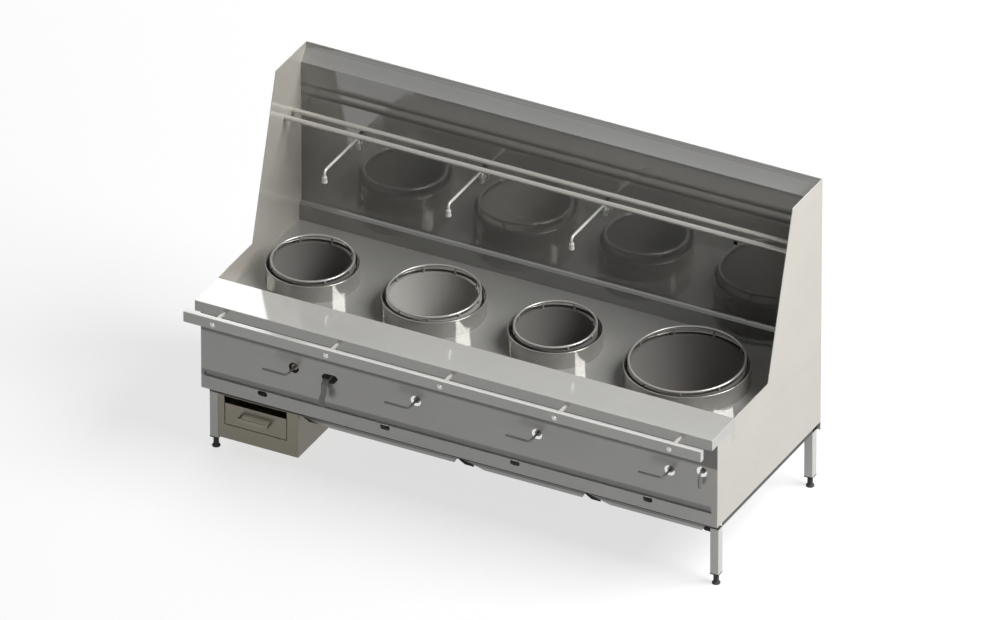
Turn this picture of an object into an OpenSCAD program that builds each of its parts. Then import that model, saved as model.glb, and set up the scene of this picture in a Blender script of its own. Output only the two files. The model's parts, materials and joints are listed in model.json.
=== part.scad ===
// Four-burner wok range in folded stainless sheet.
// X runs along the front from left to right, Y runs back, Z is up from the floor.

/* [Overall] */
// Length between the two outer ends
range_l = 2440; // [2200:10:3000]
// Height of the front ledge above the floor
work_h = 770; // [720:5:900]
// Depth from the front edge of the ledge to the back of the rear panel
body_d = 1006; // [960:1:1150]
// Height of the backsplash above the ledge
splash_h = 736; // [600:1:900]
// Thickness of the folded sheet
sheet_t = 2; // [1.5:0.1:3]

/* [Ledge and deck] */
// Depth of the flat front ledge
ledge_d = 204; // [150:1:230]
// Height of the apron that hangs from the front of the ledge
apron_h = 51; // [40:1:60]
// How far the burner deck lies below the ledge
deck_drop = 103; // [95:1:110]
// Length of deck that runs forward under the ledge
deck_lap = 30; // [15:1:60]

/* [Backsplash and ends] */
// Depth of the hollow between the backsplash and the rear panel's back face
splash_box_d = 52; // [46:1:80]
// Height of the upright strip behind the deck
riser_h = 76; // [50:1:110]
// Depth and height of the slanted fold above that strip
riser_chamfer = 22; // [10:1:30]
// Height of the upright lip along the top
lip_h = 27; // [15:1:40]
// Thickness of the end cheeks
cheek_w = 3; // [2:0.5:5]
// Depth of the side panels' folded edges
pan_w = 14; // [10:1:20]
// Depth at which the cheek starts to rise
cheek_low_d = 513; // [350:1:600]
// Depth at which the cheek reaches its full height
cheek_top_d = 732; // [650:1:850]

/* [Burners] */
// Outer diameter of each wok ring
ring_ods = [362, 405, 358, 502]; // [320:1:520]
// Outer diameter of each collar at its rolled lip
collar_ods = [405, 449, 407, 541]; // [400:1:560]
// Depth of the burner centres behind the ledge's front edge
burner_d = 532; // [520:1:580]
// Diameter of the wok ring's bar
ring_bar_d = 11; // [9:0.5:15]
// Tilt of the wok rings in degrees, higher at the back
ring_tilt = 3.2; // [0:0.1:5]
// Number of posts under each wok ring
post_counts = [8, 9, 8, 9]; // [6:1:12]
// Clear height of a post at the front of its ring
front_post_h = 8; // [6:0.5:14]
// Diameter of a post
post_d = 9; // [7:0.5:10]
// How far the chamber's rim lies below the ledge
rim_drop = 28; // [24:1:40]
// How far the collar's lip lies below the ledge
collar_drop = 23.5; // [20:0.5:34]
// Depth of the fire chamber below its rim
chamber_h = 248; // [220:1:270]
// Radius of the chamber's throat
throat_r = 72; // [65:1:80]
// Wall of the fire chamber
chamber_wall = 5; // [4:0.5:7]

/* [Fascia] */
// How far the fascia is set back from the ledge's front edge
fascia_d = 50; // [40:1:70]
// Drop from the ledge to the bottom of the fascia
fascia_drop = 455; // [420:1:480]
// Drop from the ledge to the middle of the pressed band
band_drop = 382; // [375:1:390]
// Height of the pressed band
band_h = 22; // [16:1:26]
// Depth of the pressed band
band_d = 8; // [4:1:12]
// Diameter of the lever holes
lever_hole_d = 49; // [40:1:55]
// Drop from the ledge to the gas levers
lever_drop = 236; // [225:1:250]
// Drop from the ledge to the knee lever's slot
knee_drop = 242; // [235:1:255]
// Drop from the ledge to the water valve
water_valve_drop = 200; // [185:1:215]
// Length of the knee lever's slot
slot_l = 77; // [70:1:90]
// Height of the knee lever's slot
slot_h = 42; // [34:1:46]
// Length of a lighting port
port_l = 46; // [36:1:50]
// Height of a lighting port
port_h = 24; // [16:1:28]

/* [Gas and levers] */
// Diameter of the gas manifold
manifold_d = 42; // [34:1:48]
// Diameter of the burner feed pipes
feed_d = 21; // [17:1:27]
// Edge of the square gas valve body
valve_w = 44; // [38:1:50]
// Diameter of a lever rod
lever_d = 10; // [8:0.5:12]
// How far a lever stands in front of the fascia
lever_reach = 67; // [60:1:90]
// Length of the lever's arm
lever_arm = 112; // [70:1:120]
// Radius of the lever's bend
lever_bend = 15; // [12:1:20]
// Width of the knee lever's strip
knee_w = 25; // [20:1:28]
// Thickness of the knee lever's strip
knee_t = 5; // [4:0.5:6]
// How far the knee lever hangs below its slot's middle
knee_hang = 115; // [100:1:125]

/* [Water] */
// Height of the taps above the ledge
tap_z = 344; // [250:1:420]
// How far a tap's swing axis stands in front of the backsplash
tap_stand = 28; // [26:1:45]
// Reach of a spout in front of its swing axis
spout_reach = 305; // [200:1:320]
// Diameter of a spout
spout_d = 12; // [10:0.5:16]
// Height of a spout above the tap's middle
spout_rise = 38; // [28.5:0.5:45]
// Drop from a spout to its nozzle's mouth
spout_drop = 57; // [50:1:75]
// Diameter of a nozzle
nozzle_d = 22; // [18:1:28]
// Length of a nozzle
nozzle_l = 28; // [22:1:32]
// Diameter of the water pipe
water_d = 22; // [18:1:26]

/* [Rails] */
// Diameter of the utensil rails
rail_d = 22; // [18:1:28]
// Wall of the utensil rails
rail_wall = 2; // [1.5:0.1:3]
// Height of the utensil rails above the ledge
rail_z = 466; // [440:1:520]
// Gap from the backsplash to the middle of the rear rail
rail_stand = 77; // [60:1:100]
// Distance between the two rails
rail_pitch = 68; // [55:1:90]
// Height of the bumper bar
bumper_h = 50; // [40:1:51]
// Thickness of the bumper bar
bumper_t = 27; // [20:1:40]
// Clear gap between the bumper bar and the apron
bumper_gap = 77; // [60:1:90]
// Diameter of the bumper's standoffs
standoff_d = 18; // [12:1:22]
// Wall of the bumper bar
bumper_wall = 2; // [1.5:0.1:3]
// Diameter of a bumper bolt's head
bolt_head_d = 24; // [18:1:30]
// Height of a bumper bolt's head
bolt_head_h = 7; // [5:0.5:9]

/* [Drawer] */
// Width of the drawer cabinet
cabinet_w = 382; // [360:1:420]
// Depth of the drawer cabinet
cabinet_d = 520; // [460:1:600]
// Height of the drawer cabinet
cabinet_h = 213; // [213:1:218]
// Width of the drawer opening
opening_w = 298; // [260:1:310]
// Height of the drawer opening
opening_h = 140; // [120:1:140]
// Finger gap above the drawer front
finger_gap = 34; // [25:1:40]
// Width of the drawer's handle
handle_w = 144; // [110:1:180]
// How far the handle stands out
handle_reach = 32; // [28:1:45]
// Width of the handle's strip
handle_strip = 14; // [10:1:20]

/* [Underframe] */
// Edge of the square legs
leg_w = 40; // [34:1:50]
// Wall of the square legs
leg_wall = 2; // [1.5:0.1:3]
// How far the legs are set in from each end
leg_inset = 16; // [10:1:25]
// How far the legs are set back from the ledge's front edge
leg_d = 95; // [85:1:110]
// Leg of the frame's angle bar
angle_w = 40; // [34:1:44]
// Thickness of the frame's angle bar
angle_t = 4; // [3:0.5:6]
// Height of a foot
foot_h = 55; // [40:1:60]
// Diameter of a foot's pad
foot_d = 36; // [30:1:40]
// Depth and height of the slanted bay panels
bay_slope = 88; // [70:1:100]
// Gap between the fascia and a bay panel
bay_gap = 10; // [9:1:14]
// How far a bay panel's ends slant in
bay_slant = 60; // [30:1:80]

/* [Hidden] */
$fn = 48;

// Places along the length, as shares from the left end
burner_shares = [0.1142, 0.3503, 0.5859, 0.8406];
lever_shares = [0.1816, 0.4185, 0.6528, 0.9082];
port_shares = [0.12, 0.3586, 0.6102, 0.8664];
tap_shares = [0.1189, 0.3598, 0.5984];
spare_tap_share = 0.8443;
slot_share = 0.252;
water_valve_share = 0.97;
standoff_first_share = 0.0574;
standoff_last_share = 0.9394;
standoff_count = 5;
divider_shares = [0.5016, 0.7467];

// One overrun serves every cut
over = 1;
// Running clearance round a turning stem
stem_clear = 0.05;
// Clearance of loose and sliding pieces
seat_clear = 0.3;

// The frame of the whole object: its box is centred on X and Y and stands on the floor
bumper_reach = bumper_gap + bumper_t + bolt_head_h;
front_y = bumper_reach / 2 - body_d / 2;
half_l = range_l / 2;
in_x = half_l - cheek_w;
function x_at(share) = (share - 1 / 2) * range_l;

// Backsplash and rear panel
rear_y = body_d - sheet_t;
main_y = body_d - splash_box_d;
riser_y = main_y - riser_chamfer;
slope_d = splash_box_d - 2 * sheet_t;
cavity_y = (main_y + sheet_t + rear_y) / 2;
tap_hole_clear = 0.5;
tap_shank_d = 20;

// Underframe
frame_z = -fascia_drop;
frame_low = frame_z - angle_w;
frame_rear = rear_y - angle_w;
leg_x = half_l - leg_inset - leg_w;
foot_flange_h = 6;
foot_neck_d = 24;

// Side panels
side_seat = 50;

// Burners
rim_z = -rim_drop;
ring_front_z = rim_z + seat_clear + front_post_h + ring_bar_d / 2;
rim_t = 6;
rim_w = 14;
skirt_in = 2;
skirt_t = 4;
seat_w = 6;
seat_t = 4;
hole_in = 14;
lip_roll_d = 7;
lip_proud = 0.5;
collar_wall = 3;
collar_foot_w = 6;
collar_foot_t = 3;
first_post_angle = 90;
throat_flange_w = 24;
burner_plate_t = 8;
burner_boss_r = 45;
burner_boss_h = 50;
air_hole_count = 8;
air_hole_d = 22;
air_hole_share = 0.83;
jet_count = 12;
jet_ring_share = 0.55;
jet_d = 11;
jet_h = 26;
jet_bore_d = 5;
chamber_low = rim_z - chamber_h;
plate_low = chamber_low - burner_plate_t;
feed_z = plate_low - burner_boss_h / 2;

// Gas
gas_set_back = 80;
gas_y = fascia_d + gas_set_back;
manifold_rise = 66;
manifold_z = manifold_rise - lever_drop;
manifold_end = 60;
manifold_bend = 60;
supply_join = 12;
supply_in = 120;
supply_x = half_l - supply_in;
supply_start = supply_x - manifold_bend - supply_join;
nipple_d = 26;
gland_d = 28;
gland_gap = 8;
stem_in = 8;
feed_bend = 30;
inlet_socket_d = 58;
inlet_socket_l = 40;
inlet_bore_r = 15.1;
inlet_bore_l = 25;
inlet_clear = 1;

// Knee lever
knee_rest = 15;
knee_x = x_at(slot_share) - knee_rest;
knee_pivot_in = 125;
knee_pivot_y = fascia_d + knee_pivot_in;
knee_boss_d = 26;
knee_boss_h = 20;
knee_pin_d = 8;
knee_pin_head_d = 14;
knee_pin_head_h = 4;
knee_tail = 18;
knee_front = 30;
knee_step = 18;
bracket_t = 4;
bracket_w = 60;
bracket_drop = 52;
slot_margin = 5;

// Water
water_valve_in = 110;
water_valve_x = x_at(water_valve_share);
water_valve_y = fascia_d + water_valve_in;
water_valve_w = 34;
water_gland_d = 24;
water_socket_d = 30;
water_socket_l = 45;
water_bore_r = 9.3;
water_bore_l = 18;
water_handle_reach = 22;
water_handle_l = 66;
water_handle_grip_d = 13;
water_handle_grip_l = 40;
water_bend = 24;
tee_d = 30;
tee_l = 46;
pipe_hole_clear = 4;
tap_rosette_d = 44;
tap_rosette_t = 5;
tap_socket_d = 26;
tap_socket_low = 16;
tap_socket_high = 12;
tap_bore_l = 22;
spout_bend = 16;
nozzle_bore_d = 16;
nozzle_bore_l = 14;
nozzle_ring_h = 6;
nozzle_ring_w = 1.5;
tap_cap_rise = 49;
tap_cap_d = 16;
tap_cap_t = 5;

// Rails
rail_back_y = main_y - rail_stand;
rail_front_y = rail_back_y - rail_pitch;
bumper_y = -bumper_gap - bumper_t;
bumper_z = -bumper_h / 2;
drain_d = 8;

// Drawer, its cabinet and its runners
cabinet_x = leg_inset + leg_w - half_l;
cabinet_low = frame_low - cabinet_h;
opening_in = 31;
opening_rise = 70;
opening_x = cabinet_x + opening_in;
opening_low = cabinet_low + opening_rise;
drawer_gap = 3;
drawer_w = opening_w - 2 * drawer_gap;
drawer_x = opening_x + drawer_gap;
drawer_low = opening_low + drawer_gap;
drawer_front_h = opening_h - finger_gap - drawer_gap;
drawer_side_in = 12;
drawer_short = 40;
drawer_l = cabinet_d - drawer_short;
runner_w = 18;
runner_h = 24;
runner_t = 2.5;
handle_t = 4;
handle_height_share = 0.55;

// Bay panels and dividers
bay_margin = 12;
bay_stand = 35;
divider_w = 44;
bay_top = frame_z - bay_gap;
bay_front = leg_d - bay_stand;
bay_ends = [
    [cabinet_x + cabinet_w + 2 * bay_margin, x_at(divider_shares[0]) - bay_margin],
    [x_at(divider_shares[0]) + bay_margin, x_at(divider_shares[1]) - bay_margin / 2],
    [x_at(divider_shares[1]) + bay_margin / 2, leg_x - bay_margin / 2]
];
divider_xs = concat(
    [bay_ends[0][0] + divider_w / 2],
    [for (share = divider_shares) x_at(share)],
    [bay_ends[2][1] - divider_w / 2]
);

// Fascia
band_left_in = pan_w + 2 * sheet_t;
band_right_in = 28;
port_drop = band_drop + band_h / 2 + port_h / 2 + sheet_t;
fascia_seat = 30;

steel = [0.74, 0.74, 0.72];
pale_steel = [0.82, 0.82, 0.8];
grey_steel = [0.56, 0.56, 0.54];
dark_steel = [0.36, 0.36, 0.36];
olive_steel = [0.5, 0.48, 0.42];
iron = [0.22, 0.22, 0.22];
brass_tone = [0.72, 0.58, 0.3];

// Depths are counted from the ledge's front edge and heights from the ledge's top
module from_ledge() {
    translate([0, front_y, work_h]) children();
}

// A flat outline in depth and height, drawn out along X
module along_x(x0, x1) {
    translate([x0, 0, 0]) rotate([90, 0, 90]) linear_extrude(x1 - x0) children();
}

// A flat outline in X and height, drawn out along Y
module along_y(y0, y1) {
    translate([0, y1, 0]) rotate([90, 0, 0]) linear_extrude(y1 - y0) children();
}

// A round bar along Y
module rod_y(x, z, y0, y1, d) {
    translate([x, y1, z]) rotate([90, 0, 0]) cylinder(d = d, h = y1 - y0);
}

module box(x0, x1, y0, y1, z0, z1) {
    translate([x0, y0, z0]) cube([x1 - x0, y1 - y0, z1 - z0]);
}

// Sheet folded along a path of points, with mitred corners
function unit(v) = v / norm(v);
function side_of(a, b) = unit([a.y - b.y, b.x - a.x]);
function mitre(a, b, c) = (side_of(a, b) + side_of(b, c)) / (1 + side_of(a, b) * side_of(b, c));
function set_off(p, t) = let (last = len(p) - 1) [
    for (i = [0:last])
        p[i] + t * (i == 0 ? side_of(p[0], p[1])
            : i == last ? side_of(p[last - 1], p[last])
            : mitre(p[i - 1], p[i], p[i + 1]))
];
function backwards(p) = [for (i = [len(p) - 1:-1:0]) p[i]];
module fold(path, t) {
    polygon(concat(path, backwards(set_off(path, t))));
}

// Round bar through points that turn at right angles
module bent_bar(points, d, bend) {
    last = len(points) - 1;
    for (i = [0:last - 1]) {
        u = unit(points[i + 1] - points[i]);
        start = points[i] + (i == 0 ? 0 : bend) * u;
        end = points[i + 1] - (i == last - 1 ? 0 : bend) * u;
        bar_between(start, end, d);
    }
    for (i = [1:last - 1]) {
        u = unit(points[i] - points[i - 1]);
        v = unit(points[i + 1] - points[i]);
        w = cross(u, v);
        c = points[i] + bend * (v - u);
        multmatrix([
            [-v.x, u.x, w.x, c.x],
            [-v.y, u.y, w.y, c.y],
            [-v.z, u.z, w.z, c.z],
            [0, 0, 0, 1]
        ])
            rotate_extrude(angle = 90) translate([bend, 0]) circle(d = d);
    }
}

// Round bar along one of the three axes
module bar_between(a, b, d) {
    v = b - a;
    turn = v.x > 0 ? [0, 90, 0] : v.x < 0 ? [0, -90, 0]
        : v.y > 0 ? [-90, 0, 0] : v.y < 0 ? [90, 0, 0]
        : v.z > 0 ? [0, 0, 0] : [180, 0, 0];
    translate(a) rotate(turn) cylinder(d = d, h = norm(v));
}

// Folded front ledge: apron lip, apron, flat top and the drop to the deck
module front_ledge() {
    path = [
        [fascia_d, -apron_h], [0, -apron_h], [0, 0], [ledge_d, 0], [ledge_d, -deck_drop]
    ];
    end = [
        [0, -apron_h], [0, 0], [ledge_d, 0], [ledge_d, -deck_drop],
        [ledge_d - deck_lap, -deck_drop], [ledge_d - deck_lap, -apron_h]
    ];
    color(pale_steel) from_ledge() {
        along_x(-half_l, half_l) fold(path, -sheet_t);
        along_x(-half_l, -half_l + sheet_t) polygon(end);
        along_x(half_l - sheet_t, half_l) polygon(end);
    }
}

// Burner deck with a hole under each chamber and one for the water riser
module burner_deck() {
    color(steel) from_ledge() difference() {
        box(-half_l, half_l, ledge_d - deck_lap, rear_y, -deck_drop - sheet_t, -deck_drop);
        for (i = [0:len(burner_shares) - 1])
            translate([x_at(burner_shares[i]), burner_d, -deck_drop - sheet_t - over])
                cylinder(r = ring_ods[i] / 2 - hole_in, h = sheet_t + 2 * over);
        translate([water_valve_x, cavity_y, -deck_drop - sheet_t - over])
            cylinder(d = water_d + pipe_hole_clear, h = sheet_t + 2 * over);
    }
}

// End cheek, a flat plate on the deck's end: low beside the burners, then rising
module cheek(x0, x1) {
    color(steel) from_ledge() along_x(x0, x1) polygon([
        [ledge_d, -deck_drop], [ledge_d, 0], [cheek_low_d, 0], [cheek_top_d, splash_h],
        [rear_y, splash_h], [rear_y, -deck_drop]
    ]);
}
module left_cheek() { cheek(-half_l, -in_x); }
module right_cheek() { cheek(in_x, half_l); }

// Backsplash: riser, slanted fold, tall face, slope and lip in one folded sheet
module backsplash() {
    riser_top = riser_h - deck_drop;
    face_top = splash_h - lip_h - slope_d;
    path = [
        [riser_y, -deck_drop], [riser_y, riser_top], [main_y, riser_top + riser_chamfer],
        [main_y, face_top], [main_y + slope_d, face_top + slope_d], [main_y + slope_d, splash_h]
    ];
    color(grey_steel) from_ledge() difference() {
        along_x(-in_x, in_x) fold(path, -sheet_t);
        for (share = concat(tap_shares, spare_tap_share))
            rod_y(x_at(share), tap_z, main_y - over, main_y + sheet_t + over,
                tap_shank_d + tap_hole_clear);
    }
}

// Rear panel over the whole back, with the hole for the gas inlet
module rear_panel() {
    color(steel) from_ledge() difference() {
        box(-half_l, half_l, rear_y, body_d, frame_low, splash_h);
        rod_y(supply_x, manifold_z, rear_y - over, body_d + over,
            inlet_socket_d + 2 * inlet_clear);
    }
}

// Side panel: a shallow pan that opens inwards, with a seat on the frame
function side_outline(inset) = [
    [fascia_d + sheet_t + inset, frame_z + inset],
    [fascia_d + sheet_t + inset, -apron_h - inset],
    [ledge_d - deck_lap - inset, -apron_h - inset],
    [ledge_d - deck_lap - inset, -deck_drop - sheet_t - inset],
    [rear_y - inset, -deck_drop - sheet_t - inset],
    [rear_y - inset, frame_z + inset]
];
module side_panel(side) {
    color(steel) from_ledge() mirror([side < 0 ? 1 : 0, 0, 0]) {
        difference() {
            along_x(half_l - pan_w, half_l) polygon(side_outline(0));
            along_x(half_l - pan_w - over, half_l - sheet_t) polygon(side_outline(sheet_t));
        }
        box(half_l - side_seat, half_l, leg_d + angle_w + seat_clear, rear_y,
            frame_z, frame_z + sheet_t);
    }
}
module left_side_panel() { side_panel(-1); }
module right_side_panel() { side_panel(1); }

// A hole with round ends through the fascia
module slot_cut(x, z, l, h, y0, y1) {
    run = (l - h) / 2;
    for (s = [-1, 1]) rod_y(x + s * run, z, y0, y1, h);
    box(x - run, x + run, y0, y1, z - h / 2, z + h / 2);
}

// Fascia with its pressed band, lever holes, knee slot and lighting ports
module front_fascia() {
    band_x0 = -half_l + band_left_in;
    band_x1 = half_l - band_right_in;
    band_z0 = -band_drop - band_h / 2;
    band_z1 = -band_drop + band_h / 2;
    y0 = fascia_d - over;
    y1 = fascia_d + sheet_t + over;
    color(grey_steel) from_ledge() {
        difference() {
            box(-half_l + sheet_t, half_l - sheet_t, fascia_d, fascia_d + sheet_t, frame_z, -sheet_t);
            for (share = lever_shares)
                rod_y(x_at(share), -lever_drop, y0, y1, lever_hole_d);
            rod_y(water_valve_x, -water_valve_drop, y0, y1, lever_hole_d);
            slot_cut(x_at(slot_share), -knee_drop, slot_l, slot_h, y0, y1);
            for (share = port_shares)
                slot_cut(x_at(share), -port_drop, port_l, port_h, y0, y1);
            box(band_x0, band_x1, y0, y1, band_z0, band_z1);
        }
        difference() {
            box(band_x0 - sheet_t, band_x1 + sheet_t, fascia_d + sheet_t, fascia_d + band_d + sheet_t,
                band_z0 - sheet_t, band_z1 + sheet_t);
            box(band_x0, band_x1, y0, fascia_d + band_d, band_z0, band_z1);
        }
        box(side_seat - half_l + seat_clear, half_l - side_seat - seat_clear,
            fascia_d, leg_d + fascia_seat, frame_z, frame_z + sheet_t);
    }
}

// Collar on the deck: upright wall, a foot turned inwards and a lip rolled inwards
module collar(i) {
    r = collar_ods[i] / 2;
    wall_in = r - lip_proud - collar_wall;
    lip_z = deck_drop - collar_drop - lip_roll_d / 2;
    color(steel) from_ledge() translate([x_at(burner_shares[i]), burner_d, -deck_drop])
        rotate_extrude() {
            translate([wall_in, 0]) square([collar_wall, lip_z]);
            translate([wall_in - collar_foot_w, 0])
                square([collar_foot_w + collar_wall, collar_foot_t]);
            translate([r - lip_roll_d / 2, lip_z]) circle(d = lip_roll_d);
        }
}
module collar_1() { collar(0); }
module collar_2() { collar(1); }
module collar_3() { collar(2); }
module collar_4() { collar(3); }

// Fire chamber: flat rim, cone, throat flange, and a skirt that stands on the deck
module chamber(i) {
    rim_out = ring_ods[i] / 2;
    rim_in = rim_out - rim_w;
    skirt_out = rim_out - skirt_in;
    cone = [[rim_in, rim_z], [throat_r, chamber_low]];
    color(grey_steel) from_ledge() translate([x_at(burner_shares[i]), burner_d, 0])
        rotate_extrude() {
            polygon(concat(cone, [
                [throat_r + throat_flange_w, chamber_low],
                [throat_r + throat_flange_w, chamber_low + rim_t],
                [throat_r + chamber_wall + rim_t / 2, chamber_low + rim_t],
                [rim_in + chamber_wall, rim_z - rim_t],
                [skirt_out - skirt_t, rim_z - rim_t],
                [skirt_out - skirt_t, -deck_drop],
                [skirt_out + seat_w, -deck_drop],
                [skirt_out + seat_w, seat_t - deck_drop],
                [skirt_out, seat_t - deck_drop],
                [skirt_out, rim_z - rim_t],
                [rim_out, rim_z - rim_t],
                [rim_out, rim_z]
            ]));
        }
}
module chamber_1() { chamber(0); }
module chamber_2() { chamber(1); }
module chamber_3() { chamber(2); }
module chamber_4() { chamber(3); }

// Loose wok ring: a round bar, tilted to the front, on posts that grow towards the back
module wok_ring(i) {
    bar_r = ring_ods[i] / 2 - ring_bar_d / 2;
    rise = bar_r * sin(ring_tilt);
    step = 360 / post_counts[i];
    color(dark_steel) from_ledge() translate([x_at(burner_shares[i]), burner_d, 0]) {
        translate([0, 0, ring_front_z + rise]) rotate([ring_tilt, 0, 0])
            rotate([0, 0, first_post_angle + step / 2])
                rotate_extrude() translate([bar_r, 0]) circle(d = ring_bar_d);
        for (k = [0:post_counts[i] - 1]) {
            angle = first_post_angle + k * step;
            bar_z = ring_front_z + rise * (1 + sin(angle));
            translate([bar_r * cos(angle), bar_r * cos(ring_tilt) * sin(angle), rim_z + seat_clear])
                cylinder(d = post_d, h = bar_z - rim_z - seat_clear);
        }
    }
}
module wok_ring_1() { wok_ring(0); }
module wok_ring_2() { wok_ring(1); }
module wok_ring_3() { wok_ring(2); }
module wok_ring_4() { wok_ring(3); }

// Jet burners bolted under the chamber throats
module burner_head(i) {
    translate([x_at(burner_shares[i]), burner_d, plate_low]) {
        difference() {
            cylinder(r = throat_r + throat_flange_w, h = burner_plate_t);
            for (k = [0:air_hole_count - 1])
                rotate([0, 0, k * 360 / air_hole_count])
                    translate([throat_r * air_hole_share, 0, -over])
                        cylinder(d = air_hole_d, h = burner_plate_t + 2 * over);
        }
        translate([0, 0, -burner_boss_h]) cylinder(r = burner_boss_r, h = burner_boss_h);
        for (k = [0:jet_count - 1])
            rotate([0, 0, k * 360 / jet_count])
                translate([throat_r * jet_ring_share, 0, burner_plate_t]) jet();
        translate([0, 0, burner_plate_t]) jet();
    }
}
module jet() {
    difference() {
        cylinder(d = jet_d, h = jet_h);
        translate([0, 0, jet_h / 2]) cylinder(d = jet_bore_d, h = jet_h);
    }
}
module burner_heads() {
    color(iron) from_ledge() for (i = [0:len(burner_shares) - 1]) burner_head(i);
}

// Gas manifold: pipe behind the fascia with a nipple over each valve
module gas_manifold() {
    color(grey_steel) from_ledge() {
        bar_between([x_at(lever_shares[0]) - manifold_end, gas_y, manifold_z],
            [supply_start, gas_y, manifold_z], manifold_d);
        for (share = lever_shares)
            translate([x_at(share), gas_y, valve_w / 2 - lever_drop])
                cylinder(d = nipple_d, h = manifold_rise - valve_w / 2);
    }
}

// Gas supply pipe: a bend at the manifold's end, a run to the rear and the inlet socket
module gas_supply_pipe() {
    socket_y = body_d - inlet_socket_l;
    color(grey_steel) from_ledge() {
        bent_bar([
            [supply_start, gas_y, manifold_z],
            [supply_x, gas_y, manifold_z],
            [supply_x, socket_y, manifold_z]
        ], manifold_d, manifold_bend);
        difference() {
            rod_y(supply_x, manifold_z, socket_y, body_d, inlet_socket_d);
            rod_y(supply_x, manifold_z, body_d - inlet_bore_l, body_d + over, 2 * inlet_bore_r);
        }
    }
}

// Gas valves: square bodies with a gland that carries the lever's stem
module gas_valve(share) {
    difference() {
        union() {
            translate([x_at(share) - valve_w / 2, gas_y - valve_w / 2, -lever_drop - valve_w / 2])
                cube(valve_w);
            rod_y(x_at(share), -lever_drop, fascia_d + gland_gap, gas_y, gland_d);
        }
        rod_y(x_at(share), -lever_drop, fascia_d, gas_y, lever_d + 2 * stem_clear);
    }
}
module gas_valves() {
    color(brass_tone) from_ledge() for (share = lever_shares) gas_valve(share);
}

// Feed pipes: down from each valve, back, and across to its burner
module burner_feed_pipes() {
    color(grey_steel) from_ledge() for (i = [0:len(lever_shares) - 1]) {
        x = x_at(lever_shares[i]);
        bent_bar([
            [x, gas_y, -lever_drop - valve_w / 2],
            [x, gas_y, feed_z],
            [x, burner_d, feed_z],
            [x_at(burner_shares[i]) + sqrt(pow(burner_boss_r, 2) - pow(feed_d / 2, 2)), burner_d, feed_z]
        ], feed_d, feed_bend);
    }
}

// Gas lever: a rod that comes out of its valve and turns to the left
module valve_lever(i) {
    x = x_at(lever_shares[i]);
    y = fascia_d - lever_reach;
    color(dark_steel) from_ledge()
        bent_bar([
            [x, gas_y - stem_in, -lever_drop],
            [x, y, -lever_drop],
            [x - lever_arm, y, -lever_drop]
        ], lever_d, lever_bend);
}
module valve_lever_1() { valve_lever(0); }
module valve_lever_2() { valve_lever(1); }
module valve_lever_3() { valve_lever(2); }
module valve_lever_4() { valve_lever(3); }

// Knee lever: a flat strip that turns on an upright pin and hangs in front of its slot
module knee_lever() {
    front = fascia_d - knee_front;
    path = [
        [knee_pivot_y + knee_tail, 0], [front + knee_step, 0], [front, -knee_step],
        [front, -knee_hang / 2], [front - knee_step, -knee_hang / 2 - knee_step],
        [front - knee_step, -knee_hang]
    ];
    color(steel) from_ledge() translate([knee_x, 0, -knee_drop]) difference() {
        union() {
            along_x(-knee_w / 2, knee_w / 2) fold(path, knee_t);
            translate([0, knee_pivot_y, -knee_boss_h / 2]) cylinder(d = knee_boss_d, h = knee_boss_h);
        }
        translate([0, knee_pivot_y, -knee_boss_h])
            cylinder(d = knee_pin_d + 2 * stem_clear, h = 2 * knee_boss_h);
    }
}

// Bracket behind the fascia with the knee lever's pin
module knee_lever_bracket() {
    top = -slot_h / 2 - slot_margin;
    seat = -knee_boss_h / 2 - seat_clear;
    head = knee_boss_h / 2 + seat_clear;
    path = [
        [fascia_d + sheet_t, top - bracket_drop], [fascia_d + sheet_t, top],
        [knee_pivot_y + knee_boss_d / 2, top]
    ];
    color(steel) from_ledge() translate([knee_x, 0, -knee_drop]) {
        along_x(-bracket_w / 2, bracket_w / 2) fold(path, -bracket_t);
        translate([0, knee_pivot_y, top]) cylinder(d = knee_boss_d, h = seat - top);
        translate([0, knee_pivot_y, top]) cylinder(d = knee_pin_d, h = head - top);
        translate([0, knee_pivot_y, head]) cylinder(d = knee_pin_head_d, h = knee_pin_head_h);
    }
}

// Water valve at the right end, with its inlet socket facing down
module water_valve() {
    low = -water_valve_w / 2 - water_socket_l;
    color(brass_tone) from_ledge() translate([water_valve_x, 0, -water_valve_drop]) difference() {
        union() {
            translate([-water_valve_w / 2, water_valve_y - water_valve_w / 2, -water_valve_w / 2])
                cube(water_valve_w);
            rod_y(0, 0, fascia_d + gland_gap, water_valve_y, water_gland_d);
            translate([0, water_valve_y, low]) cylinder(d = water_socket_d, h = water_socket_l);
        }
        rod_y(0, 0, fascia_d, water_valve_y, lever_d + 2 * stem_clear);
        translate([0, water_valve_y, low - over]) cylinder(r = water_bore_r, h = water_bore_l + over);
    }
}

// Handle of the water valve, hanging down at rest, with a thicker grip
module water_valve_handle() {
    y = fascia_d - water_handle_reach;
    color(dark_steel) from_ledge() translate([water_valve_x, 0, -water_valve_drop]) {
        bent_bar([
            [0, water_valve_y - stem_in, 0], [0, y, 0], [0, y, -water_handle_l]
        ], lever_d, lever_bend);
        translate([0, y, -water_handle_l])
            cylinder(d = water_handle_grip_d, h = water_handle_grip_l);
    }
}

// Water pipe: back from the valve, up behind the backsplash, and along to the taps
module water_pipe() {
    color(grey_steel) from_ledge() {
        bent_bar([
            [water_valve_x, water_valve_y + water_valve_w / 2, -water_valve_drop],
            [water_valve_x, cavity_y, -water_valve_drop],
            [water_valve_x, cavity_y, tap_z],
            [x_at(tap_shares[0]) - tee_l / 2, cavity_y, tap_z]
        ], water_d, water_bend);
        for (share = tap_shares)
            translate([x_at(share) - tee_l / 2, cavity_y, tap_z]) rotate([0, 90, 0])
                cylinder(d = tee_d, h = tee_l);
    }
}

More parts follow.
